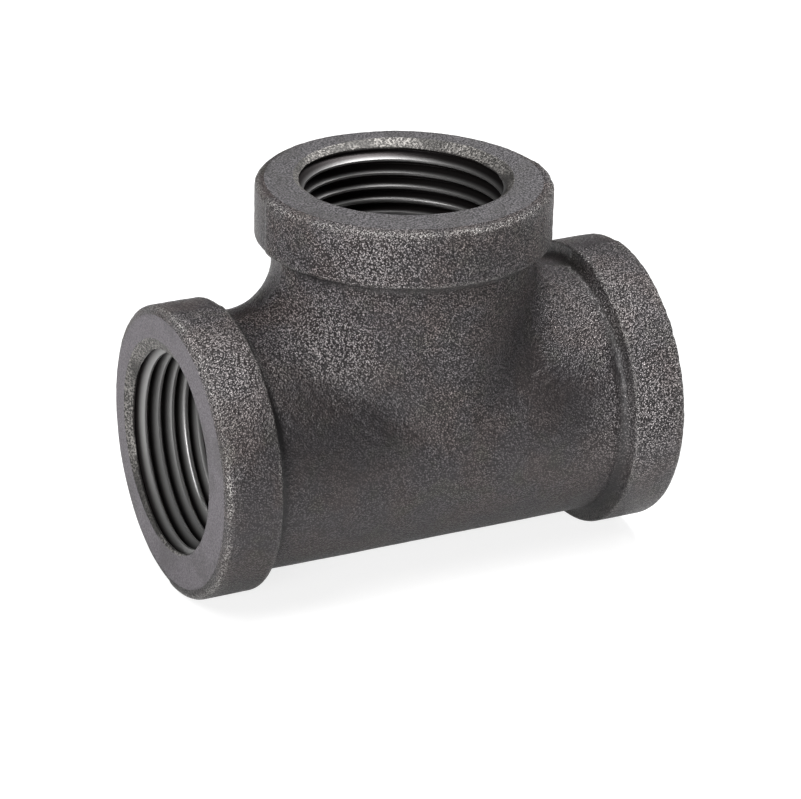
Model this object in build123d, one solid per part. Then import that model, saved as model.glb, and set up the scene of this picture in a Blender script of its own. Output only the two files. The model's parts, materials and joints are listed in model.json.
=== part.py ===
from build123d import *
from build123d.topology.shape_core import SkipClean
import os
from math import acos, atan, degrees, radians, tan

# A threaded pipe tee with three equal ports: one iron casting, cored hollow,
# with a taper pipe thread tapped into each port. Millimetres.
# The run lies along X, the branch points up, and the tee stands on its two
# run bands, so the origin is on the ground below the crossing of the bores.

# --- driving dimensions: pipe size 1, class 150 ---
CENTRE_TO_END = 38.10       # crossing of the centrelines to each port face
BAND_D = 44.98              # outside diameter of the reinforcing bands
BAND_FLAT = 7.20            # length of the band before its rear edge rolls over
RUN_R = 20.10               # outside radius of the run between its bands
BRANCH_R = 19.90            # outside radius of the branch below its band
WALL = 3.40                 # thickness of the cored wall
CROTCH_R = 7.80             # blend between the branch and the run

# --- edges of the bands, as cast ---
FACE_ROUND = 1.20           # rounding where the port face meets the band
SHOULDER_R = 1.20           # rounding of the band's rear edge
FOOT_R = 1.80               # hollow where the band runs down into the tube

# --- taper pipe thread, 11.5 to the inch ---
PITCH = 25.4 / 11.5
TAPER = 1 / 32              # radius lost for each millimetre of depth
ROOT_R = 16.56              # radius at the bottom of the groove, at the face
CREST_R = 14.90             # radius of the hole that the tap was run into
ROOT_FLAT = 0.10            # worn tip of the tap
FLANK_ANGLE = 30            # half of the thread's 60 degrees
THREAD_DEPTH = 17.00        # face to the shoulder where the cored passage starts
STEM = 0.70                 # how far the cutter reaches into the open hole

# --- mouth of each port ---
MOUTH_R = 17.00             # radius of the lead-in at the face
MOUTH_DEPTH = 1.40          # depth of the lead-in
SLEEVE_R = 18.50            # radius of the metal that takes the thread

BAND_R = BAND_D / 2
AXIS_HEIGHT = BAND_R        # the bands rest on the ground

# A port's own frame has its origin at the middle of the port face and +Z out
# of the opening.
PORTS = {
    "run_left": Location((-CENTRE_TO_END, 0, AXIS_HEIGHT), (0, -90, 0)),
    "run_right": Location((CENTRE_TO_END, 0, AXIS_HEIGHT), (0, 90, 0)),
    "branch": Location((0, 0, AXIS_HEIGHT + CENTRE_TO_END)),
}


def banded_tube(radius):
    """Half of a tube, solid, turned about its port's axis with its band on it.

    The outline runs out over the rounded face, along the band, and down the
    band's back in an S that ends tangent to the tube.
    """
    turn = degrees(acos(1 - (BAND_R - radius) / (SHOULDER_R + FOOT_R)))
    face = Line((0, 0), (BAND_R - FACE_ROUND, 0))
    front = JernArc(face @ 1, face % 1, FACE_ROUND, -90)
    flat = Line(front @ 1, (BAND_R, -BAND_FLAT))
    shoulder = JernArc(flat @ 1, flat % 1, SHOULDER_R, -turn)
    foot = JernArc(shoulder @ 1, shoulder % 1, FOOT_R, turn)
    tube = Line(foot @ 1, (radius, -CENTRE_TO_END))
    middle = Line(tube @ 1, (0, -CENTRE_TO_END))
    axis = Line(middle @ 1, (0, 0))
    outline = make_face([face, front, flat, shoulder, foot, tube, middle, axis])
    return revolve(Plane.XZ * outline, Axis.Z)


def outside():
    """The casting's outside as a solid, with the crotch blended all round."""
    run = PORTS["run_left"] * banded_tube(RUN_R) + PORTS["run_right"] * banded_tube(RUN_R)
    tee = run + PORTS["branch"] * banded_tube(BRANCH_R)
    crotch = [edge for edge in tee.edges() if edge.geom_type == GeomType.BSPLINE]
    return tee.fillet(CROTCH_R, crotch)


def cored_passage():
    """The waterway that the sand cores leave between the three threads."""
    half_length = CENTRE_TO_END - THREAD_DEPTH
    from_middle = (Align.CENTER, Align.CENTER, Align.MIN)
    run = Cylinder(RUN_R - WALL, 2 * half_length, rotation=(0, 90, 0))
    branch = Cylinder(BRANCH_R - WALL, half_length, align=from_middle)
    return Pos(0, 0, AXIS_HEIGHT) * (run + branch)


def lead_in():
    """The cone that guides the pipe into the thread."""
    return Cone(CREST_R, MOUTH_R, MOUTH_DEPTH, align=(Align.CENTER, Align.CENTER, Align.MAX))


def thread_groove():
    """The path of the tap: a V carried round a helix that narrows inwards.

    It starts a turn outside the face and ends a turn past the shoulder, so
    the groove runs out of the metal at both ends.
    """
    length = THREAD_DEPTH + 2 * PITCH
    inner_z = -THREAD_DEPTH - PITCH
    root_r = ROOT_R + TAPER * inner_z
    path = Helix(PITCH, length, root_r, center=(0, 0, inner_z), cone_angle=degrees(atan(TAPER)))
    crest_half = ROOT_FLAT / 2 + (ROOT_R - CREST_R) * tan(radians(FLANK_ANGLE))
    crest_r = root_r - (ROOT_R - CREST_R)
    tooth = Plane.XZ * Polygon(
        (root_r, inner_z - ROOT_FLAT / 2),
        (root_r, inner_z + ROOT_FLAT / 2),
        (crest_r, inner_z + crest_half),
        (crest_r - STEM, inner_z + crest_half),
        (crest_r - STEM, inner_z - crest_half),
        (crest_r, inner_z - crest_half),
        align=None,
    )
    return sweep(tooth, path, is_frenet=True)


def sleeve_blank():
    """The metal that each thread is cut into, still solid."""
    return Cylinder(SLEEVE_R, THREAD_DEPTH, align=(Align.CENTER, Align.CENTER, Align.MAX))


def tapped_sleeve():
    """The drilled and tapped metal round a port, in four quarters.

    Cut apart like this, each turn of the crest is four short cylinder faces.
    """
    hole = Cylinder(CREST_R, THREAD_DEPTH, align=(Align.CENTER, Align.CENTER, Align.MAX))
    sleeve = sleeve_blank() - hole - lead_in() - thread_groove()
    base = Plane((0, 0, -2 * THREAD_DEPTH))
    quarter = Solid.make_cylinder(2 * SLEEVE_R, 3 * THREAD_DEPTH, base, angle=90)
    return [sleeve & quarter.rotate(Axis.Z, 45 + 90 * turn) for turn in range(4)]


def tee_casting():
    """The whole fitting: one casting with its three tapped ports."""
    casting = outside() - cored_passage()
    with SkipClean():
        sleeve = tapped_sleeve()
        for place in PORTS.values():
            casting -= place * sleeve_blank()
            casting += [place * quarter for quarter in sleeve]
    return casting


os.makedirs("parts", exist_ok=True)
export_step(tee_casting(), "parts/tee_casting.step")
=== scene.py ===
# %% [markdown]
# # A black iron pipe tee
# This lesson builds one part: a threaded tee that joins three pipes. The real
# one is poured as a single iron casting. Its outside keeps the skin of the sand
# mould, its three port faces are ground flat, and a tap cuts a thread into each.
# The part's plain engineering model comes first, because it says how big
# everything is and where it goes.

# %% Load the engineering model
import json
import bpy
import numpy as np
from mathutils import Matrix, Vector


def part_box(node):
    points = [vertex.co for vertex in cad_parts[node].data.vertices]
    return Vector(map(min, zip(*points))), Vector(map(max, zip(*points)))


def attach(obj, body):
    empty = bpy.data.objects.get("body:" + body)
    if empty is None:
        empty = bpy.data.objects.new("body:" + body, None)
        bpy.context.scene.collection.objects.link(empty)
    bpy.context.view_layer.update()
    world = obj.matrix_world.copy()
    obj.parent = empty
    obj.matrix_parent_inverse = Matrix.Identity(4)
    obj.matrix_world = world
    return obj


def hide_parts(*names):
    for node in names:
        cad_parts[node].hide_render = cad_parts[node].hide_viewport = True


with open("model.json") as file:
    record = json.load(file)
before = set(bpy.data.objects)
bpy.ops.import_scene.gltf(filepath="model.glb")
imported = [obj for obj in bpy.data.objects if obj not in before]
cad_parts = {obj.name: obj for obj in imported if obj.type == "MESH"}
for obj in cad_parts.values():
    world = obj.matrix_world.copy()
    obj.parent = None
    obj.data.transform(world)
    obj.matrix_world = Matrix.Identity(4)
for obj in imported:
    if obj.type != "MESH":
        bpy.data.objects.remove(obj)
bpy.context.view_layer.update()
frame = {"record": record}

MM = 0.001                       # this script thinks in millimetres, Blender in metres
smallest, largest = (np.array(corner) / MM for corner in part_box("tee_casting"))
length, width = (largest - smallest)[:2]
FACE = length / 2                # from the crossing of the bores to each port face
BAND_R = width / 2               # outside radius of the bands
AXIS_Z = largest[2] - FACE       # height of the run's centreline
port = next(m for m in frame["record"]["mounts"] if m["name"] == "run_right")
CREST_R = port["dims"]["r_mm"]   # radius of the drilled hole, which is the thread's crest
thread_end = port["pos_m"][0] / MM - port["dims"]["length_mm"]
THREAD_DEPTH = FACE - thread_end  # face to the shoulder behind the thread
print(f"face {FACE:.2f}, band radius {BAND_R:.2f}, axis height {AXIS_Z:.2f}, crest {CREST_R}")

# %% [markdown]
# ## The casting's shape
# Three equal arms meet at right angles, and the corners between them are
# rounded, because sharp corners crack as iron cools. Such a shape could be cut
# with boolean modifiers and then bevelled, but the blend fades away at the
# sides, where a bevel fails. A distance function has no such trouble: it says
# how far any point is from the iron, and two of them melt together with a sum.

# %% Sizes of the iron
TUBE_R = 19.98          # outside of the arms between their bands
BAND_LENGTH = 8.9       # port face to the band's rear shoulder
BAND_EDGE = 1.10        # rounding of the band's front rim
SHOULDER_EDGE = 0.55    # rounding of its rear shoulder
CROTCH_R = 7.6          # rounding in the corners between the arms
FOOT_R = 1.6            # rounding where a band meets its tube
CORE_R = 16.65          # cored waterway
CORE_BLEND = 3.0        # the cores' own rounded meeting
SKIN_INSET = 0.08       # how far the front skin lies under nominal size on the mean
print(f"bands stand {BAND_R - TUBE_R:.2f} mm proud of the arms")


# %% [markdown]
# ## Distances that blend
# Each helper takes an array of points and gives their distances from one
# surface, less than nothing inside it. Blending two of them leaves a round
# fillet. Marching cubes could turn such a distance into a mesh, but its faces
# would ignore the rims. A ray that walks out from the inside finds the skin just
# as well, and the rays can be placed where the shape needs them.

# %% Distance functions
def blended(a, b, radius):
    """Two distances as one, with a round fillet of this radius in the corner.

    Inside the corner the result is the radius less the length of the vector
    (radius - a, radius - b), which is a quarter circle; elsewhere it is the
    smaller of the two.
    """
    inside = np.hypot(np.maximum(radius - a, 0), np.maximum(radius - b, 0))
    return np.maximum(radius, np.minimum(a, b)) - inside


def crossing(points, tube_r, corner_r):
    """Distance from two crossing tubes, the branch one only above the run.

    The fillet shrinks as the tubes' sides turn parallel, as a rolling ball's
    does: by (1 - cos of half the angle between the sides) over its value at a
    right angle.
    """
    x, y, z = points.T
    run_out, branch_out = np.hypot(y, z), np.hypot(x, y)
    cosine = y * y / np.maximum(run_out * branch_out, 1e-9)
    half = np.sqrt((1 + np.minimum(cosine, 1)) / 2)
    radius = corner_r * (1 - half) / (1 - np.sqrt(0.5))
    return blended(run_out - tube_r, np.maximum(branch_out - tube_r, -z), radius)


def band(along, out):
    """Distance from a disc with rounded rims: a smaller box's distance, less the rounding."""
    half = BAND_LENGTH / 2
    past_middle = along - (FACE - half)
    edge = np.where(past_middle > 0, BAND_EDGE, SHOULDER_EDGE)
    a, b = np.abs(past_middle) - (half - edge), out - (BAND_R - edge)
    corner = np.hypot(np.maximum(a, 0), np.maximum(b, 0))
    return corner + np.minimum(np.maximum(a, b), 0) - edge


def outside(points):
    """Distance from the whole casting's outside: the tubes end inside their bands."""
    x, y, z = points.T
    bands = np.minimum(band(np.abs(x), np.hypot(y, z)), band(z, np.hypot(x, y)))
    past_band = np.maximum(np.abs(x), z) - (FACE - BAND_LENGTH / 2)
    return blended(np.maximum(crossing(points, TUBE_R, CROTCH_R), past_band), bands, FOOT_R)


def waterway(points):
    """Distance from the cored passages, less than nothing in the water."""
    return crossing(points, CORE_R, CORE_BLEND)


HALVINGS = 34             # each one halves what is left of the ray


def walk_out(shape, origin, direction, near, far):
    """Where each ray leaves a shape, found by halving the stretch that holds the skin."""
    near = np.full(len(origin), near, float)
    far = np.full(len(origin), far, float)
    for _ in range(HALVINGS):
        middle = (near + far) / 2
        within = shape(origin + middle[:, None] * direction) < 0
        near, far = np.where(within, middle, near), np.where(within, far, middle)
    return origin + near[:, None] * direction


crotch = walk_out(outside, np.zeros((1, 3)), np.array([[0.5, 0, 0.5]]) ** 0.5, 1.0, 60.0)
print(f"the crotch's fillet is {np.linalg.norm(crotch):.1f} mm from where the bores cross")


# %% [markdown]
# ## Roughness of a sand casting
# Molten iron copies the sand it is poured against, so its skin is pebbled. A
# displacement modifier could read a texture, but plain arrays keep the same
# bumps on every arm, and neighbours meet exactly. Two noises do it: a smooth
# one for the hand-rammed waviness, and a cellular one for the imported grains.
# The two halves of the mould met close to y = 0, and the rear half is set back
# by a hair and came out smoother, so a fine step runs along the whole casting.

# %% Noises on arrays of points
LATTICE = 32              # the lattice repeats after this many cells


def smooth_noise(points, size, seed):
    """Random values at the corners of a lattice of this size, eased between them; -1 to 1."""
    table = np.random.default_rng(seed).uniform(-1, 1, (LATTICE,) * 3)
    cell = np.floor(points / size).astype(int)
    part = points / size - cell
    ease = part * part * (3 - 2 * part)
    total = np.zeros(len(points))
    for corner in np.ndindex(2, 2, 2):
        weight = np.prod(np.where(corner, ease, 1 - ease), axis=1)
        total += weight * table[tuple(((cell + corner) % LATTICE).T)]
    return total


def pebbles(points, size, seed):
    """One rounded hump per lattice cell, at a random place in it: 1 on top, 0 between humps."""
    table = np.random.default_rng(seed).uniform(0, 1, (LATTICE,) * 3 + (3,))
    cell = np.floor(points / size).astype(int)
    nearest = np.full(len(points), 9.0)
    for step in np.ndindex(3, 3, 3):
        other = cell + step - 1
        centre = other + table[tuple((other % LATTICE).T)]
        nearest = np.minimum(nearest, ((points / size - centre) ** 2).sum(axis=1))
    return 1 - np.minimum(np.sqrt(nearest), 1)


def slope_of(shape, points, step=0.02):
    """The direction in which the distance grows fastest, from small steps each way."""
    grown = [shape(points + axis) - shape(points - axis) for axis in np.eye(3) * step]
    grown = np.array(grown).T
    return grown / np.linalg.norm(grown, axis=1, keepdims=True)


PEBBLE_SIZE = 1.15
sample = np.random.default_rng(9).uniform(-FACE, FACE, (2000, 3))
mean_height = pebbles(sample, PEBBLE_SIZE, 3).mean()
print(f"pebbles {PEBBLE_SIZE} mm apart, {mean_height:.2f} high on the mean")

# %% The skin's relief
PARTING_Y = 0.4           # where the mould's halves met, and half the width of the step there
SET_BACK = 0.16           # how far the rear half's skin lies behind the front half's
REAR_GRAIN = 0.35         # share of the grain that the rear half keeps
PEBBLE_DEPTH = 0.17
MEAN_PEBBLE = 0.45        # close to the pebbles' mean height, so that they hardly lift the skin
CLEARANCE = 0.002         # the skin stays at least this far inside nominal size


def cast_relief(points):
    """How far the as-cast skin lies from nominal size, in millimetres, less than nothing inside.

    Waves 13 and 4.3 mm long, plus a strength times the pebbles and a finer noise,
    less the rear half's set-back. The grain is stronger on the front half and
    higher up, and tanh eases from one strength to the other.
    """
    wavy = 0.05 * smooth_noise(points, 13.0, 1) + 0.03 * smooth_noise(points, 4.3, 2)
    grain = PEBBLE_DEPTH * (pebbles(points, PEBBLE_SIZE, 3) - MEAN_PEBBLE)
    grain = grain + 0.05 * smooth_noise(points, 0.7, 4)
    front = (1 - np.tanh((points[:, 1] - PARTING_Y) / PARTING_Y)) / 2
    higher = 0.55 + 0.45 * np.tanh((points[:, 2] + 2) / 8)
    strength = (REAR_GRAIN + (1 - REAR_GRAIN) * front) * higher
    relief = wavy + strength * grain - SET_BACK * (1 - front) - SKIN_INSET
    return np.minimum(relief, -CLEARANCE)


relief = cast_relief(sample)
print(f"skin relief runs from {relief.min():.2f} to {relief.max():.2f} mm, mean {relief.mean():.2f}")


# %% [markdown]
# ## The thread
# A tap cuts a V-shaped groove that climbs round the hole as it goes in, and it
# narrows inwards, so that the joint tightens. A screw modifier could turn a V
# round the axis, but it can't run out in the countersunk mouth. Here the hole's
# radius is written as a formula of depth and angle, and the rows of the grid
# climb with the groove, so that its edges stay crisp.

# %% Hole radius by depth and angle
PITCH = 25.4 / 11.5       # eleven and a half turns to the inch
TAPER = 1 / 32            # how much the groove's radius shrinks per millimetre of depth
ROOT_R = 16.56            # groove bottom at the face
ROOT_FLAT = 0.10          # width of the flat in the groove's bottom
FLANK = np.tan(np.radians(30))
RUN_IN = 0.9              # depth over which the groove grows to full size behind the face
GROOVE_START = 1.9        # depth of the first groove where the angle is zero
MOUTH_R = 16.5            # mean radius of the countersink at the face
MOUTH_SLOPE = 1.9         # how fast the countersink closes in, mm per mm
CONE_FADE = 0.25          # how far the cone must clear the thread to count in full


def hole_surface(depth, angle, rim):
    """(radius, crest, cone) of the tapped hole.

    The groove's middle lies where depth / pitch + turns is whole. From there the
    flanks fall towards the crest at 30 degrees each side. The countersink is a cone
    that starts at the rim. The hole is the widest of crest, groove and cone. Crest
    is 1 on the drilled radius and 0 in the groove; cone is 1 on the countersink. The
    groove grows in behind the face as 3 t squared less 2 t cubed.
    """
    phase = (depth - GROOVE_START) / PITCH + angle / (2 * np.pi)
    aside = np.abs(phase - np.round(phase)) * PITCH
    root = ROOT_R - TAPER * depth
    groove = root - np.maximum(aside - ROOT_FLAT / 2, 0) / FLANK - CREST_R
    into = np.clip(depth / RUN_IN, 0, 1)
    thread = CREST_R + np.maximum(groove, 0) * into * into * (3 - 2 * into)
    cone = rim - MOUTH_SLOPE * depth
    radius = np.maximum(thread, cone)
    crest = 1 - np.clip((radius - CREST_R) / (root - CREST_R), 0, 1)
    return radius, crest, np.clip((cone - thread) / CONE_FADE, 0, 1)


print(f"{THREAD_DEPTH / PITCH:.1f} turns of thread, {ROOT_R - CREST_R:.2f} mm deep at the face")


# %% [markdown]
# ## An arm as one closed surface
# Cut the casting along the three planes where the arms meet, and each arm is a
# ring: its outline runs out along the skin, over the band, across the face,
# down the thread and back along the waterway. That outline is carried round the
# arm's axis, so one grid of rows and columns holds the whole arm. Separate
# pieces for skin, face and hole would be simpler, but would show gaps between
# them. The rows near the cut lean towards it, so that neighbours meet point for
# point.

# %% Rows and columns of an arm
COLUMNS = 360
SKIN_ROWS = 80            # from the cut to where the band's foot begins
SKIN_END = 27.4           # axial place where they end
CORE_ROWS = 14            # from the thread's shoulder back to the cut
FACE_ROWS = 9
SKIN_REACH, CORE_REACH = 34.0, 30.0     # past the furthest point that a leaning ray can meet
angles = np.linspace(0, 2 * np.pi, COLUMNS + 1)


def around(u, v, w, along, out):
    """Points at these distances along the axis w and out from it, for every column."""
    ring = np.cos(angles)[:, None] * u + np.sin(angles)[:, None] * v
    along, out = np.broadcast_arrays(along, out)
    return along[..., None] * w + out[..., None] * ring


def lean(kind):
    """How far each column's first ray leans back to the cut, as a slope.

    It is 1 on the sides where another arm meets this one at 45 degrees, falling
    by the cosine to 0 a quarter turn away; an arm of the run has one such side.
    """
    facing = np.cos(angles)
    return np.abs(facing) if kind == "branch" else np.maximum(facing, 0)


def tube_rows(shape, u, v, w, kind, count, end, reach):
    """Rows of a tube from the cut outwards: rays that lean from the cut to straight out."""
    rows = []
    for share in np.arange(count) / count:
        origin = np.broadcast_to(w * end * share, (COLUMNS + 1, 3))
        ray = around(u, v, w, (1 - share) * lean(kind), np.ones(COLUMNS + 1))
        ray = ray / np.linalg.norm(ray, axis=1, keepdims=True)
        rows.append(walk_out(shape, origin, ray, 1.0, reach))
    return rows


print(f"{COLUMNS} columns, {2 * np.pi * TUBE_R / COLUMNS:.2f} mm apart round an arm")

# %% [markdown]
# ## The band's outline
# A band is a plain disc in section, but its foot, its rear shoulder and its
# front rim are rounded. A bevel modifier would spread rows evenly. Writing the
# outline as arcs and a flat gives every rounding its own rows.

# %% Rows over a band
START_INSIDE = 1.5        # how far under the plain outline each ray starts
BAND_REACH = 4.0          # and how far it goes at most


def band_outline():
    """(along, out, tilt) down the band's profile: foot, shoulder, flat and front rim.

    Foot and shoulder are two arcs of opposite bend that share their tangent; tilt
    is the angle of the outward normal from straight out, towards the face.
    """
    rise = 1 - (BAND_R - TUBE_R) / (SHOULDER_EDGE + FOOT_R)
    turn = np.arccos(np.maximum(rise, 0))
    shoulder_end = FACE - BAND_LENGTH + SHOULDER_EDGE
    foot_start = shoulder_end - (SHOULDER_EDGE + FOOT_R) * np.sin(turn)
    a = np.linspace(0, turn, 10)[:-1]
    foot = np.array([foot_start + FOOT_R * np.sin(a), TUBE_R + FOOT_R * (1 - np.cos(a)), -a])
    a = np.linspace(turn, 0, 9)
    out = BAND_R - SHOULDER_EDGE + SHOULDER_EDGE * np.cos(a)
    shoulder = np.array([shoulder_end - SHOULDER_EDGE * np.sin(a), out, -a])
    t = np.linspace(shoulder_end, FACE - BAND_EDGE, 20)[1:-1]
    flat = np.array([t, np.full_like(t, BAND_R), np.zeros_like(t)])
    a = np.linspace(0, np.pi / 2, 10)
    out = BAND_R - BAND_EDGE + BAND_EDGE * np.cos(a)
    front = np.array([FACE - BAND_EDGE + BAND_EDGE * np.sin(a), out, a])
    return np.hstack([foot, shoulder, flat, front]).T


def band_rows(u, v, w):
    """Rows over the band: rays along the outline's own normals, so steep parts get their share."""
    rows = []
    for along, out, tilt in band_outline():
        skin = around(u, v, w, np.full(COLUMNS + 1, along), out)
        ray = around(u, v, w, np.full(COLUMNS + 1, np.sin(tilt)), np.cos(tilt))
        rows.append(walk_out(outside, skin - START_INSIDE * ray, ray, 0.0, BAND_REACH))
    return rows


print(f"{len(band_outline())} rows over each band")

# %% [markdown]
# ## Face, mouth and thread rows
# The face is flat, so a few rings hold it. The countersink was cut with a tool
# that sat a little off the hole's centre, so its rim is a circle set to one
# side. Level rows would cross the groove and step its edges. The thread's rows
# follow the tap instead: each one climbs a pitch in a turn.

# %% Rows of the face, the mouth and the thread
ROWS_ASIDE = np.array([0.05, 0.30, 0.55, 0.78, 0.95])  # from the groove's middle to its edge
TURNS_EACH_END = 2        # spare turns past the face and the shoulder, most of them dropped


def face_row(u, v, w, share, rim):
    """A ring on the port face: share 0 at the band's rim, 1 at the mouth."""
    outer = BAND_R - BAND_EDGE
    out = outer + (rim - outer) * share
    return around(u, v, w, np.full(COLUMNS + 1, FACE), out)


def thread_rows(u, v, w, rim):
    """Rows that climb with the groove, each starting one pitch deeper per turn, and their values.

    Within a pitch the rows sit at the groove's bottom, on its flanks and at the
    crest. Where a row would rise past the face or sink past the shoulder it is
    held there, and its doubles are merged later.
    """
    within = np.concatenate([-ROWS_ASIDE[::-1], ROWS_ASIDE, [PITCH / 2]]) / PITCH
    turns = np.arange(-TURNS_EACH_END, THREAD_DEPTH / PITCH + TURNS_EACH_END + 1)
    starts = (turns[:, None] + within).ravel() + GROOVE_START / PITCH
    # rows well past either end would only double the face's rim or the shoulder's
    starts = starts[(starts > -0.05) & (starts < THREAD_DEPTH / PITCH + 1.2)]
    depth = PITCH * (starts[:, None] - angles / (2 * np.pi))
    depth = np.clip(depth, 0, THREAD_DEPTH)
    radius, crest, cone = hole_surface(depth, angles, rim)
    return around(u, v, w, FACE - depth, radius), crest, cone


def mouth_rim(off_centre, side, seed):
    """Radius of the countersink at the face, for every column.

    The mean radius, plus off_centre times the cosine of the angle from its side,
    plus two noises along the rim that leave it a little ragged.
    """
    circle = MOUTH_R + off_centre * np.cos(angles - side)
    ring = MOUTH_R * np.stack([np.cos(angles), np.sin(angles), 0 * angles + seed], axis=1)
    ring[-1] = ring[0]
    return circle + 0.10 * smooth_noise(ring, 2.6, 11) + 0.05 * smooth_noise(ring, 0.9, 12)


print(f"{2 * len(ROWS_ASIDE) + 1} rows to each turn of the thread")

# %% [markdown]
# ## Values that ride on the mesh
# Wear sits on the rims, and painted shade darkens the crevice in the foot of
# each band. Both follow the surface, so they are worked out with the rows and
# stored as attributes, and a shader only reads them. Painting them by hand
# would not reach every arm alike.

# %% Wear and painted crevice shade, and a whole arm
DIP_DEPTH = 0.02          # the ground face's waviness


def bell(value, middle, width):
    """1 at the middle, falling off on both sides as e to the minus square of widths away."""
    return np.exp(-(((value - middle) / width) ** 2))


def band_values(outline):
    """Wear on the band's two rims and painted crevice shade in its foot, as bells over the outline, 0
    to 1.
    """
    along, tilt = outline[:, 0], outline[:, 2]
    behind = along - (FACE - BAND_LENGTH)
    front_wear = bell(tilt, 0.75, 0.60) * (along > FACE - 2 * BAND_EDGE)
    back_wear = 0.7 * bell(behind, 0.35, 0.35)
    crevice_shade = bell(behind, -0.8, 1.0)
    return np.maximum(front_wear, back_wear), crevice_shade


def arm_grid(u, v, w, kind, rim):
    """All rows of an arm in order, the finish that starts at each, and their values."""
    tube = tube_rows(outside, u, v, w, kind, SKIN_ROWS, SKIN_END, SKIN_REACH)
    skin = np.array(tube + band_rows(u, v, w))
    face = np.array([face_row(u, v, w, n / FACE_ROWS, rim) for n in range(1, FACE_ROWS)])
    thread, crest, cone = thread_rows(u, v, w, rim)
    core_end = FACE - THREAD_DEPTH
    shoulder = around(u, v, w, np.full(COLUMNS + 1, core_end), np.full(COLUMNS + 1, CORE_R))
    core = tube_rows(waterway, u, v, w, kind, CORE_ROWS, core_end, CORE_REACH)
    core = np.array([shoulder] + core[::-1])

    blocks = {"skin": skin, "face": face, "thread": thread, "core": core}
    finish = np.concatenate([[name] * len(block) for name, block in blocks.items()])
    rows = np.concatenate(list(blocks.values()))
    values = {name: np.zeros(rows.shape[:2]) for name in ("wear", "crevice_shade", "crest", "cone")}
    wear, crevice_shade = band_values(band_outline())
    values["wear"][finish == "skin"] = np.append(np.zeros(SKIN_ROWS), wear)[:, None]
    # painted shade in the crevice at each band's foot
    values["crevice_shade"][finish == "skin"] = np.append(np.zeros(SKIN_ROWS), crevice_shade)[:, None]
    values["crest"][finish == "thread"] = crest
    values["cone"][finish == "thread"] = cone
    return rows, finish, values


def roughened(rows, finish, w):
    """The skin pushed in along its own slope by the cast relief, the face by faint dips."""
    skin, face = finish == "skin", finish == "face"
    points = rows[skin].reshape(-1, 3)
    moved = points + slope_of(outside, points) * cast_relief(points)[:, None]
    rows[skin] = moved.reshape(rows[skin].shape)
    flat = rows[face].reshape(-1, 3)
    dips = DIP_DEPTH * (smooth_noise(flat, 1.7, 21) + smooth_noise(flat, 6.0, 22) - 2)
    rows[face] += (dips[:, None] * w).reshape(rows[face].shape)
    return rows


# %% [markdown]
# ## From rows to mesh
# The grid closes both ways, because its last row meets its first across the
# cut. Many points are doubled, as where the thread's rows are held at the face.
# Merge by Distance could weld them, but then it is hard to say which row a face
# came from. So the places are rounded and compared here, cells that lost one
# corner become triangles, and cells that lost two are dropped.

# %% Weld a grid and make a mesh of it
WELD = 1e-4               # points nearer than this many millimetres are one
SHARP = np.radians(38)    # edges steeper than this stay crisp


def closed_grid(rows):
    """Which point is at each place, and the four corners of each cell, of rows that wrap both ways."""
    count, columns = rows.shape[:2]
    rounded = np.round(rows.reshape(-1, 3) / WELD).astype(np.int64)
    _, first, place = np.unique(rounded, axis=0, return_index=True, return_inverse=True)
    index = place.reshape(count, columns)
    after = np.roll(index, -1, axis=0)
    corners = np.stack([index[:, :-1], index[:, 1:], after[:, 1:], after[:, :-1]], axis=-1)
    return first, corners.reshape(-1, 4)


def split_cells(corners):
    """Cells with four corners as quads, cells that lost one as triangles, and which cells those are."""
    doubled = corners == np.roll(corners, -1, axis=1)
    lost = doubled.sum(axis=1)
    quads, triples = np.flatnonzero(lost == 0), np.flatnonzero(lost == 1)
    return corners[quads], corners[triples][~doubled[triples]].reshape(-1, 3), np.append(quads, triples)


def mesh_of(name, rows, finish, values):
    """A mesh of a closed grid in metres, its finishes as material slots, its values as attributes."""
    first, corners = closed_grid(rows)
    quads, triangles, cells = split_cells(corners)
    points = (rows.reshape(-1, 3)[first] + [0, 0, AXIS_Z]) * MM
    mesh = bpy.data.meshes.new(name)
    mesh.from_pydata(points.tolist(), [], quads.tolist() + triangles.tolist())
    for material in finishes.values():
        mesh.materials.append(material)
    slot_of_row = np.array([list(finishes).index(f) for f in finish])
    mesh.polygons.foreach_set("material_index", slot_of_row[cells // (rows.shape[1] - 1)])
    mesh.polygons.foreach_set("use_smooth", np.ones(len(cells), bool))
    for key, value in values.items():
        layer = mesh.attributes.new(key, "FLOAT", "POINT")
        layer.data.foreach_set("value", value.reshape(-1)[first].astype(np.float32))
    mesh.set_sharp_from_angle(angle=SHARP)
    mesh.validate()
    return mesh


# %% [markdown]
# ## Shader sums
# A material is a graph of nodes. Wiring it by hand hides the sums, so a small
# class stands for a socket: adding or multiplying two of them adds the Math
# node that does it, and the shader reads like a formula.

# %% A socket that takes part in sums, and a graph that adds nodes
class Value:
    """A socket of a node graph; sums with it add Math nodes."""

    def __init__(self, graph, socket):
        self.graph, self.socket = graph, socket

    def math(self, operation, a, b, clamp=False):
        """A Math node's result for two values, held between 0 and 1 on request."""
        settings = {"operation": operation, "use_clamp": clamp}
        return self.graph.node("ShaderNodeMath", settings, {0: a, 1: b})

    def __add__(self, other):
        return self.math("ADD", self, other)

    def __sub__(self, other):
        return self.math("SUBTRACT", self, other)

    def __rsub__(self, other):
        return self.math("SUBTRACT", other, self)

    def __mul__(self, other):
        return self.math("MULTIPLY", self, other)

    def clamped(self):
        """The same value, held between 0 and 1."""
        return self.math("ADD", self, 0.0, clamp=True)

    __radd__, __rmul__ = __add__, __mul__


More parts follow.
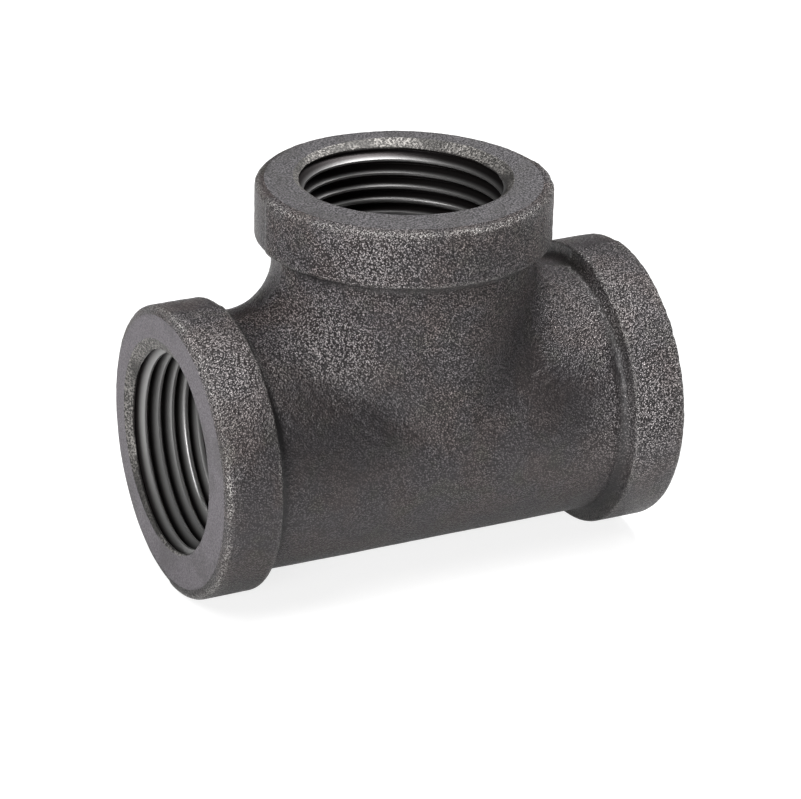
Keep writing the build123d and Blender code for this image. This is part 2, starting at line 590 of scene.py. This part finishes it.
class Graph:
    """A material's node graph with one Principled shader at its end."""

    def __init__(self, name):
        self.material = bpy.data.materials.new(name)
        self.material.use_nodes = True
        self.nodes = self.material.node_tree.nodes
        self.shader = next(n for n in self.nodes if n.type == "BSDF_PRINCIPLED")
        place = self.node("ShaderNodeTexCoord", out="Object")
        scale = {"operation": "SCALE"}
        self.place = self.node("ShaderNodeVectorMath", scale, {0: place, "Scale": 1 / MM})

    def node(self, kind, settings=None, sockets=None, out=0):
        """Adds a node: its settings first, then its sockets' values or links; gives one output."""
        node = self.nodes.new(kind)
        for key, value in (settings or {}).items():
            setattr(node, key, value)
        self.plug(node, sockets or {})
        return Value(self, node.outputs[out])

    def plug(self, node, sockets):
        """Links values that are sockets and sets the ones that are constants."""
        for key, value in sockets.items():
            if isinstance(value, Value):
                self.material.node_tree.links.new(value.socket, node.inputs[key])
            else:
                node.inputs[key].default_value = value

    def noise(self, size, detail=2.0, rough=0.55):
        """Noise whose features are about this many millimetres apart, 0 to 1."""
        sockets = {"Vector": self.place, "Scale": 1 / size, "Detail": detail, "Roughness": rough}
        return self.node("ShaderNodeTexNoise", None, sockets)

    def cells(self, size, smooth=0.35):
        """Distance to the nearest of scattered points about this many millimetres apart."""
        sockets = {"Vector": self.place, "Scale": 1 / size, "Smoothness": smooth}
        return self.node("ShaderNodeTexVoronoi", {"feature": "SMOOTH_F1"}, sockets)

    def distance(self, middle):
        """Distance from a fixed place, in millimetres."""
        settings = {"operation": "DISTANCE"}
        return self.node("ShaderNodeVectorMath", settings, {0: self.place, 1: middle}, out="Value")

    def between(self, value, low, high):
        """0 below low, 1 above high, eased in between."""
        settings = {"interpolation_type": "SMOOTHSTEP"}
        sockets = {"Value": value, "From Min": low, "From Max": high}
        return self.node("ShaderNodeMapRange", settings, sockets)

    def mix(self, share, a, b):
        """Colour a where share is 0, b where it is 1."""
        sockets = {0: share, 6: a, 7: b}
        return self.node("ShaderNodeMix", {"data_type": "RGBA"}, sockets, out=2)

    def read(self, name):
        """A value that the mesh carries at its points."""
        return self.node("ShaderNodeAttribute", {"attribute_name": name}, None, out="Fac")

    def along(self, axis):
        """The point's own X, Y or Z in millimetres."""
        return self.node("ShaderNodeSeparateXYZ", None, {0: self.place}, out=axis)

    def bump(self, height, depth):
        """A normal tilted by a height whose full swing is this many millimetres."""
        return self.node("ShaderNodeBump", None, {"Height": height, "Distance": depth * MM})


# %% [markdown]
# ## Where the skin gets painted highlights or painted shade
# Bright spots of painted highlight stand for the lamps' reflections on the
# curves, and dark spots of painted shade for the shade and shadow where little
# light reaches. Image textures could paint such patches, but each is only a soft
# round spot, so a place and a reach say it all. A place is given as a maker
# would point at it: how far along an arm, and how far round it.

# %% Patches
def on_run(share, turn, out):
    """Share of the way to the right port, turned from the top to the front, this far off the axis."""
    turn = np.radians(turn)
    return (share * FACE, -out * np.sin(turn), AXIS_Z + out * np.cos(turn))


def on_branch(share, turn, out):
    """Share of the way up to its port, turned from the front to the right, this far off the axis."""
    turn = np.radians(turn)
    return (out * np.sin(turn), -out * np.cos(turn), AXIS_Z + share * FACE)


CROTCH = TUBE_R + 1.0     # off the axis, where the arms' blend stands out
PAINTED_HIGHLIGHTS = {                # painted highlights, and how far each one reaches
    "left of the branch": (on_branch(0.53, -58, CROTCH), 9),
    "foot of the branch": (on_branch(0.43, -47, CROTCH), 8),
    "top of the left band": (on_run(-0.87, 33, BAND_R), 13),
    "front of the branch band": (on_branch(0.89, -38, BAND_R), 12),
    "top of the right band": (on_run(0.77, 31, BAND_R - 1.0), 12),
    "front of the right band": (on_run(0.81, 86, BAND_R), 14),
}
PAINTED_SHADE = {                 # painted shade and shadow, and how far each spot reaches
    "below the left crotch": (on_run(-0.63, 62, TUBE_R), 17),
    "left end of the run": (on_run(-0.39, 71, TUBE_R), 16),
    "right of the branch": (on_branch(0.41, 33, CROTCH), 12),
    "right shoulder of the run": (on_run(0.50, 71, TUBE_R), 13),
}


def patches(g, places):
    """1 in the middle of each place, easing to 0 at its edge, the places joined."""
    total = 0.0
    for middle, reach in places.values():
        total = g.between(g.distance(middle), reach, 0.0) + total
    return total.clamped()


# the first count is of painted highlight spots, the second of painted shade spots
print(f"{len(PAINTED_HIGHLIGHTS)} rubbed places and {len(PAINTED_SHADE)} shaded ones")

# %% [markdown]
# ## As-cast skin
# Black iron is malleable iron with a dull oxide and a wipe of oil on it, and
# heat leaves faint plum and green patches on its skin. Its grains glitter
# under the lamps, and that is painted here: each grain gets painted shade in
# its hollow and painted highlight on its top. A scanned texture would need an
# image and would stretch in the crotches. One pattern of cells and noise does
# it: its height tilts the surface, sets the painted shade in the hollows and
# the painted highlight on the tops, and places painted glints. A painted glint
# needs a fine peak on a high place, so glints stay small and scattered.

# %% Finish: as-cast skin
def grey(value, warmth=0.0):
    """A grey, a little redder than blue where warmth is above nothing."""
    return (value * (1 + warmth), value, value * (1 - warmth), 1)


IRON = {                  # colours of the skin
    # hollow and top: painted shade in the grain's hollows and painted highlight on its tops; plum and
    # green are the iron's own heat tints
    "hollow": (0.0165, 0.0145, 0.0155, 1),
    "plum hollow": (0.0195, 0.0150, 0.0150, 1),
    "top": (0.076, 0.069, 0.073, 1),
    "plum top": (0.085, 0.071, 0.070, 1),
    "green top": (0.076, 0.074, 0.063, 1),
    # painted highlight colour on the tops inside the bright spots
    "rubbed top": (0.190, 0.176, 0.179, 1),
    # painted glints on the grain's peaks
    "painted_glint": (0.30, 0.27, 0.28, 1),
    "plum glint": (0.33, 0.28, 0.27, 1),
    "rubbed glint": (0.52, 0.48, 0.48, 1),
    # painted shade colour of the dark spots
    "painted_shade_spot": (0.012, 0.0105, 0.0115, 1),
    # painted shade colour towards the underside
    "underside_shade": grey(0.014, 0.03),
    "bare edge": grey(0.34, 0.04),
    # painted shade colour of the crevice at each band's foot
    "crevice_shade": grey(0.007),
}
UNDERSIDE_SHADE = (15.0, 1.0)   # heights where the painted shade on the underside starts and where it is darkest


def coarseness(g, patchy, crevice_shade, painted_highlight, painted_shade):
    """How strong the grain is, 0 to 1: most on the upper front, partly for the mould's rougher front
    half and partly as painted highlight where the lamps fall, and in the painted highlight spots; least
    in the painted crevice shade and the painted shade spots.
    """
    upper = g.between(g.along("Z"), AXIS_Z - 8, AXIS_Z + 16)
    front = g.between(g.along("Y"), 0.6, -0.4)
    coarse = 0.16 + 0.44 * upper * front + 0.16 * patchy + 0.30 * painted_highlight
    return (coarse * (1 - 0.8 * crevice_shade) * (1 - 0.55 * painted_shade)).clamped()


def tinted(g, painted_highlight):
    """Colours of the hollows (painted shade), the tops (painted highlight) and the painted glints, with
    their plum and green places and the painted highlight spots.
    """
    plum = g.between(g.noise(7.0), 0.40, 0.62)
    green = g.between(g.noise(5.0, 1.0), 0.54, 0.68)
    hollow = g.mix(plum, IRON["hollow"], IRON["plum hollow"])
    top = g.mix(green, g.mix(plum, IRON["top"], IRON["plum top"]), IRON["green top"])
    top = g.mix(painted_highlight * 0.85, top, IRON["rubbed top"])
    painted_glint = g.mix(plum, IRON["painted_glint"], IRON["plum glint"])
    return hollow, top, g.mix(painted_highlight, painted_glint, IRON["rubbed glint"])


def as_cast_skin():
    """The skin: height is 0.55 of the cells turned over, 0.30 of grain and 0.15 of fine noise."""
    g = Graph("as_cast_skin")
    wear, crevice_shade = g.read("wear"), g.read("crevice_shade")
    # painted highlight spots and painted shade spots
    painted_highlight, painted_shade = patches(g, PAINTED_HIGHLIGHTS), patches(g, PAINTED_SHADE)
    patchy = g.between(g.noise(6.0), 0.35, 0.65)
    coarse = coarseness(g, patchy, crevice_shade, painted_highlight, painted_shade)

    cell, grain, fine = g.cells(0.30), g.noise(0.27, 1.0, 0.5), g.noise(0.15, 1.0, 0.5)
    height = 0.55 * (1 - cell) + 0.30 * grain + 0.15 * fine
    # painted highlight on the grain's tops and painted shade in its hollows
    tops = g.between(height, 0.46, 0.65)
    # painted glints on the highest grain, stronger in the painted highlight spots
    painted_glints = g.between(fine * 0.5 + height * 0.5, 0.52, 0.66)
    painted_glints = (painted_glints * (1.15 * coarse + 0.70 * painted_highlight)).clamped()
    chips = g.between(0.5 * grain + 0.5 * fine, 0.49, 0.58) * wear * (0.40 + 0.60 * patchy)

    # where the grain is weak, the colour stays near the mean of the hollows' painted shade and the
    # tops' painted highlight
    hollow, top, painted_glint = tinted(g, painted_highlight)
    # the painted highlight spots lift the mean colour
    mean = g.mix(0.46 + 0.12 * painted_highlight, hollow, top)
    base = g.mix((0.30 + 1.1 * coarse).clamped(), mean, g.mix(tops, hollow, top))
    base = g.mix(painted_glints, base, painted_glint)
    # painted shade and shadow in the dark spots
    base = g.mix(painted_shade * 0.52, base, IRON["painted_shade_spot"])
    # painted shade, darker towards the bottom
    base = g.mix(g.between(g.along("Z"), *UNDERSIDE_SHADE) * 0.70, base, IRON["underside_shade"])
    base = g.mix(chips, base, IRON["bare edge"])
    # painted shade in the crevice at each band's foot
    base = g.mix(crevice_shade * 0.65, base, IRON["crevice_shade"])
    rough = 0.46 - 0.15 * tops - 0.05 * chips
    g.plug(g.shader, {"Base Color": base, "Roughness": rough, "Metallic": 0.35,
                      "Normal": g.bump(height * coarse, 0.75)})
    return g.material


# %% [markdown]
# ## Ground port face
# A grinding wheel takes the skin off each port face and leaves a satin grey with
# fine pits where the sand went deep. The branch's face is rougher than the two
# others. A second material could hold that, but the branch's face is also the
# only high one, so height above the table decides how strong the speckle is.

# %% Finish: ground port face
SATIN = {                 # colours of the ground faces
    "run pit": (0.088, 0.080, 0.089, 1),
    "run land": (0.170, 0.156, 0.170, 1),
    "branch pit": (0.022, 0.021, 0.023, 1),
    "branch land": (0.155, 0.147, 0.154, 1),
    "stain": grey(0.05, 0.05),
}


def ground_face():
    """Pits and lands by one noise, with broad stains over them."""
    g = Graph("ground_port_face")
    on_branch = g.between(g.along("Z"), FACE * 1.4, FACE * 1.5)
    grain, stained = g.noise(0.30, 2.0, 0.6), g.between(g.noise(5.0), 0.45, 0.65)
    pit = g.mix(on_branch, SATIN["run pit"], SATIN["branch pit"])
    land = g.mix(on_branch, SATIN["run land"], SATIN["branch land"])
    base = g.mix(g.between(grain, 0.40, 0.62), pit, land)
    base = g.mix(stained * 0.35, base, SATIN["stain"])
    swing = grain * (0.4 + 0.6 * on_branch)
    g.plug(g.shader, {"Base Color": base, "Roughness": 0.50 + 0.1 * grain, "Metallic": 0.35,
                      "Normal": g.bump(swing, 0.34)})
    return g.material


# %% [markdown]
# ## Cut thread
# The thread's crests get a painted highlight and the groove's bottom a painted
# shade, nearly black. Two materials could split them, with a hard edge between.
# The crest value rides on the mesh, so one ramp holds both. The branch's thread
# is painted darker than the run's, as painted shade deep in the upward hole,
# and the countersinks are torn and chipped, not polished.

# %% Finish: cut thread
STEEL = {                 # colours of the tapped holes
    # the groove colour is painted shade and the crest colour painted highlight
    "shaded groove": (0.022, 0.019, 0.019, 1),
    "crest": grey(0.27, 0.01),
    "torn hollow": grey(0.050, 0.04),
    "torn top": grey(0.28, 0.05),
}


def cut_thread():
    """Painted shade in the groove to painted highlight on the crest by the crest value, and torn metal
    where the cone value is 1.
    """
    g = Graph("cut_thread")
    crest, cone = g.read("crest"), g.read("cone")
    on_branch = g.between(g.along("Z"), FACE, FACE * 1.2)
    chips, worn = g.noise(0.35, 2.0, 0.6), g.noise(7.0, 1.0)
    # painted shade in the groove to painted highlight on the crest, the crest dimmed on the branch as
    # painted shade in its upward hole
    painted_shine = g.between(crest - 0.35 * on_branch, 0.15, 0.90)
    thread = g.mix(painted_shine, STEEL["shaded groove"], STEEL["crest"])
    torn = g.between(chips, 0.40, 0.66) * (0.15 + 0.85 * g.between(worn, 0.40, 0.60))
    base = g.mix(cone, thread, g.mix(torn, STEEL["torn hollow"], STEEL["torn top"]))
    g.plug(g.shader, {"Base Color": base, "Roughness": 0.40 + 0.12 * cone, "Metallic": 0.80,
                      "Normal": g.bump(chips * (0.1 + cone), 0.14)})
    return g.material


# %% [markdown]
# ## Cored waterway
# Behind the thread the bore was shaped by a sand core and never touched again,
# so it is coarse, dark and dull. It is deep in shade, and a simple grain does.

# %% Finish: cored waterway
def cored_wall():
    """Two dull greys by one coarse noise, which also tilts the surface."""
    g = Graph("cored_wall")
    grain = g.noise(0.8, 3.0, 0.6)
    base = g.mix(g.between(grain, 0.4, 0.6), grey(0.012), grey(0.035, 0.05))
    g.plug(g.shader, {"Base Color": base, "Roughness": 0.6 + 0.1 * grain, "Metallic": 0.3,
                      "Normal": g.bump(grain, 0.15)})
    return g.material


# %% All four finishes
finishes = {
    "skin": as_cast_skin(),
    "face": ground_face(),
    "thread": cut_thread(),
    "core": cored_wall(),
}
print("finishes:", ", ".join(material.name for material in finishes.values()))

# %% [markdown]
# ## The three arms
# A mirrored copy of one arm would save work, but its thread would turn the wrong
# way. All three arms come from one function instead, turned to their own axes.
# Each rides on the casting's body, and together they stand for the engineering
# model's single casting, which they replace. Only the mouths differ by design,
# as they do on the iron.

# %% Build the three arms
X, Z = np.array([1.0, 0, 0]), np.array([0, 0, 1.0])
ARMS = {                  # kind, outward axis, way to angle nothing, how far off centre, to which side
    "left_arm": ("run", -X, Z, 1.3, 1.2),
    "right_arm": ("run", X, Z, 0.7, 4.0),
    "branch_arm": ("branch", Z, X, 1.4, 1.1),
}
for seed, (name, (kind, w, u, off_centre, side)) in enumerate(ARMS.items()):
    rim = mouth_rim(off_centre, side, seed)
    rows, finish, values = arm_grid(u, np.cross(w, u), w, kind, rim)
    rows = roughened(rows, finish, w)
    arm = bpy.data.objects.new(name, mesh_of(name, rows, finish, values))
    bpy.context.scene.collection.objects.link(arm)
    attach(arm, "root")
    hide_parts("tee_casting")
    arm.data.calc_loop_triangles()
    print(f"{name}: {len(rows)} rows, {len(arm.data.loop_triangles)} triangles")

# %% [markdown]
# ## Table
# A pale table bounces light up under the tee. A plain white sheet would also
# show a heavy shadow, so two sheets share the work: the eye sees one that glows
# and keeps only a faint shadow, and the iron is lit by the other.

# %% Floor
HALF_FLOOR = 3.0          # metres


def floor_sheet(name, depth, glow, albedo, seen):
    """A level square this many millimetres under the tee, seen by the eye or only lighting the iron."""
    corners = np.array([(-1, -1), (1, -1), (1, 1), (-1, 1)]) * HALF_FLOOR
    mesh = bpy.data.meshes.new(name)
    mesh.from_pydata([(x, y, -depth * MM) for x, y in corners], [], [(0, 1, 2, 3)])
    g = Graph(name)
    g.plug(g.shader, {"Base Color": grey(albedo), "Roughness": 0.9,
                      "Emission Color": grey(1.0), "Emission Strength": glow})
    mesh.materials.append(g.material)
    sheet = bpy.data.objects.new(name, mesh)
    sheet.visible_camera, sheet.visible_shadow = seen, not seen
    sheet.visible_diffuse = sheet.visible_glossy = not seen
    bpy.context.scene.collection.objects.link(sheet)


floor_sheet("floor", depth=0.2, glow=0.80, albedo=0.30, seen=True)
floor_sheet("bounce", depth=0.4, glow=0.28, albedo=0.45, seen=False)
print("two sheets under the tee")


# %% [markdown]
# ## Lamps
# Dark iron shows its shape by soft reflections, so square softboxes stand round
# it: a low one in front for the threads, and high ones for the top of every
# curve. Sun lamps would leave hard edges that a studio doesn't have.

# %% Lights
MIDDLE = Vector((0, 0, AXIS_Z * MM))
LAMP_SIZE, LAMP_DISTANCE = 0.30, 0.80   # metres
ROOM_GLOW = 0.06          # strength of the white all round


def towards(azimuth, elevation):
    """The unit vector at these angles: azimuth 0 is the front, positive is to the right."""
    azimuth, elevation = np.radians([azimuth, elevation])
    flat = np.cos(elevation)
    return Vector((np.sin(azimuth) * flat, -np.cos(azimuth) * flat, np.sin(elevation)))


def soft_light(name, azimuth, elevation, power):
    """A square softbox that faces the crossing."""
    lamp = bpy.data.lights.new(name, "AREA")
    lamp.shape, lamp.size, lamp.energy = "SQUARE", LAMP_SIZE, power
    holder = bpy.data.objects.new(name, lamp)
    out = towards(azimuth, elevation)
    holder.location = MIDDLE + LAMP_DISTANCE * out
    holder.rotation_euler = (-out).to_track_quat("-Z", "Y").to_euler()
    bpy.context.scene.collection.objects.link(holder)


LAMPS = {                 # (azimuth, elevation, watts) of each softbox
    "low_front": (-45, 14, 5.0),
    "high_left": (-65, 44, 3.8),
    "high_back": (120, 65, 6.0),
    "overhead": (30, 78, 2.6),
    "right": (90, 38, 1.0),
}
for name, (azimuth, elevation, power) in LAMPS.items():
    soft_light(name, azimuth, elevation, power)
print(f"{len(LAMPS)} softboxes, {sum(lamp[2] for lamp in LAMPS.values()):.1f} W together")
world = bpy.data.worlds.new("studio")
world.use_nodes = True
world.node_tree.nodes["Background"].inputs["Color"].default_value = (1, 1, 1, 1)
world.node_tree.nodes["Background"].inputs["Strength"].default_value = ROOM_GLOW
bpy.context.scene.world = world
bpy.context.scene.view_settings.view_transform = "Standard"

# %% [markdown]
# ## Camera
# A long lens from half a metre keeps the rings close to true ellipses. The
# camera looks down at the tee from its left, with a slight roll, and a small
# shift places the tee in the frame.

# %% Camera
AZIMUTH, ELEVATION = -26.60, 24.31
ROLL = np.radians(1.38)
DISTANCE = 0.540          # metres
LENS = 158.2              # millimetres
SHIFT = (0.0028, 0.0150)
back = towards(AZIMUTH, ELEVATION)
level = (-back).cross(Vector((0, 0, 1))).normalized()
up = level.cross(-back)
right = np.cos(ROLL) * level + np.sin(ROLL) * up
top = np.cos(ROLL) * up - np.sin(ROLL) * level
camera = bpy.data.objects.new("camera", bpy.data.cameras.new("camera"))
turn = Matrix((right, top, back)).transposed().to_4x4()
camera.matrix_world = Matrix.Translation(MIDDLE + DISTANCE * back) @ turn
camera.data.lens = LENS
camera.data.shift_x, camera.data.shift_y = SHIFT
camera.data.clip_start = 0.01
bpy.context.scene.collection.objects.link(camera)
bpy.context.scene.camera = camera
print(f"lens {LENS} mm at {DISTANCE} m")
